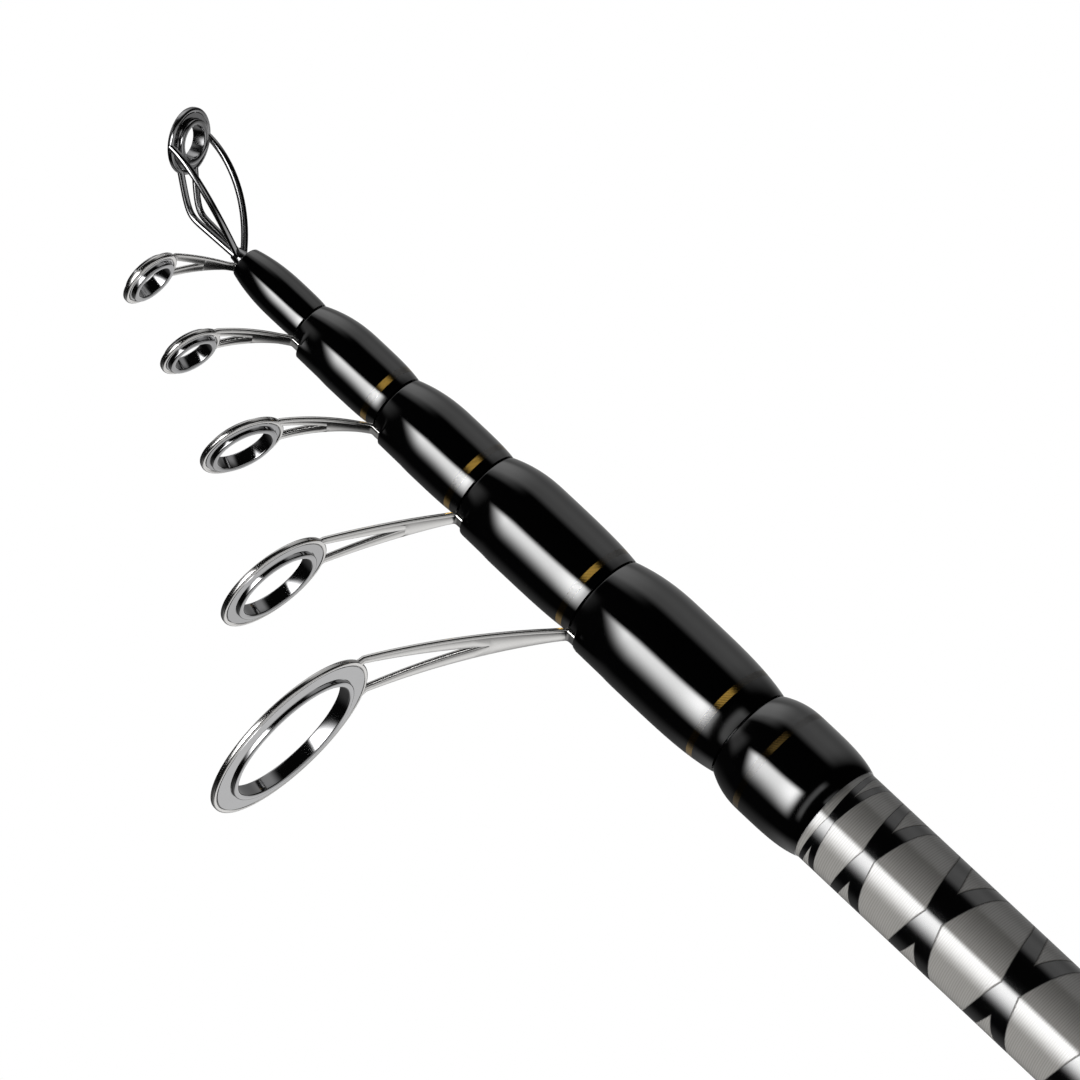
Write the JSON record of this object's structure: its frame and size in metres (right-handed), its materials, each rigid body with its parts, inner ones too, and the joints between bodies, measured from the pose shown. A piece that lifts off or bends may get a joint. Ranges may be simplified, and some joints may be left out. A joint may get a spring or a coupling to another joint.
{
  "type": "telescopic fishing rod",
  "caption": "Telescopic fishing rod pushed closed: nested tapered tubes with glossy black collars and polished ring guides, a foam handle with a reel seat and a screw cap.",
  "frame": {"origin": "centre of the butt end, on the cap's end face", "axes": "+Z along the rod to the tip, +X to the side of the reel and the guides"},
  "size_m": [0.0713, 0.0288, 0.6192],
  "materials": {
    "carbon_blank": "spiral wrapped carbon under clear gloss resin",
    "black_blank": "gloss black carbon tube",
    "black_lacquer": "black thread wraps under thick gloss resin",
    "gold_thread": "metallic gold thread",
    "guide_chrome": "polished plated steel sheet and wire",
    "ring_chrome": "polished hard ring",
    "check_metal": "turned and anodised",
    "hood_metal": "satin anodised dark grey",
    "seat_graphite": "moulded black",
    "grip_foam": "closed cell foam",
    "liner_rubber": "soft matt"
  },
  "bodies": {
    "butt": {"butt_blank": "carbon_blank", "butt_collar": "black_lacquer", "butt_band": "gold_thread", "fore_check": "check_metal", "fore_grip": "grip_foam", "reel_seat": "seat_graphite", "fixed_hood": "hood_metal", "rear_check": "check_metal", "rear_grip": "grip_foam", "ferrule": "check_metal"},
    "section_1": {"section_1_blank": "black_blank", "section_1_collar": "black_lacquer", "section_1_band": "gold_thread", "section_1_frame": "guide_chrome", "section_1_ring": "ring_chrome"},
    "section_2": {"section_2_blank": "black_blank", "section_2_collar": "black_lacquer", "section_2_band": "gold_thread", "section_2_frame": "guide_chrome", "section_2_ring": "ring_chrome"},
    "section_3": {"section_3_blank": "black_blank", "section_3_collar": "black_lacquer", "section_3_band": "gold_thread", "section_3_frame": "guide_chrome", "section_3_ring": "ring_chrome"},
    "section_4": {"section_4_blank": "black_blank", "section_4_collar": "black_lacquer", "section_4_band": "gold_thread", "section_4_frame": "guide_chrome", "section_4_ring": "ring_chrome"},
    "section_5": {"section_5_blank": "black_blank", "section_5_collar": "black_lacquer", "section_5_frame": "guide_chrome", "section_5_ring": "ring_chrome"},
    "tip": {"tip_blank": "black_blank", "tip_tube": "guide_chrome", "tip_frame": "guide_chrome", "tip_ring": "ring_chrome"},
    "hood": {"sliding_hood": "hood_metal", "hood_liner": "liner_rubber"},
    "lock_nut": {"lock_nut": "hood_metal"},
    "cap_seal": {"cap_seal": "liner_rubber"},
    "butt_cap": {"butt_cap": "hood_metal", "cap_button": "liner_rubber", "rattle_pad": "liner_rubber"}
  },
  "joints": [
    {"name": "section_1_slide", "type": "slide", "parent": "butt", "child": "section_1", "axis": [0, 0, 1], "range_m": [0, 0.42]},
    {"name": "section_2_slide", "type": "slide", "parent": "section_1", "child": "section_2", "axis": [0, 0, 1], "range_m": [0, 0.42]},
    {"name": "section_3_slide", "type": "slide", "parent": "section_2", "child": "section_3", "axis": [0, 0, 1], "range_m": [0, 0.42]},
    {"name": "section_4_slide", "type": "slide", "parent": "section_3", "child": "section_4", "axis": [0, 0, 1], "range_m": [0, 0.42]},
    {"name": "section_5_slide", "type": "slide", "parent": "section_4", "child": "section_5", "axis": [0, 0, 1], "range_m": [0, 0.42]},
    {"name": "tip_slide", "type": "slide", "parent": "section_5", "child": "tip", "axis": [0, 0, 1], "range_m": [0, 0.42]},
    {"name": "hood_slide", "type": "slide", "parent": "butt", "child": "hood", "axis": [0, 0, 1], "range_m": [-0.0201, 0.0091]},
    {"name": "nut_turn", "type": "hinge", "parent": "hood", "child": "lock_nut", "pos_m": [0, 0, 0.24275], "axis": [0, 0, 1], "range_deg": [-3600, 1620]},
    {"name": "cap_travel", "type": "slide", "parent": "butt", "child": "cap_seal", "axis": [0, 0, -1], "range_m": [0, 0.0121]},
    {"name": "cap_turn", "type": "hinge", "parent": "cap_seal", "child": "butt_cap", "pos_m": [0, 0, 0.008], "axis": [0, 0, 1], "range_deg": [-2880, 0]}
  ],
  "couplings": [
    {"joint": "hood_slide", "follows": "nut_turn", "m_per_rad": 0.00031831},
    {"joint": "cap_travel", "follows": "cap_turn", "m_per_rad": -0.00023873}
  ]
}
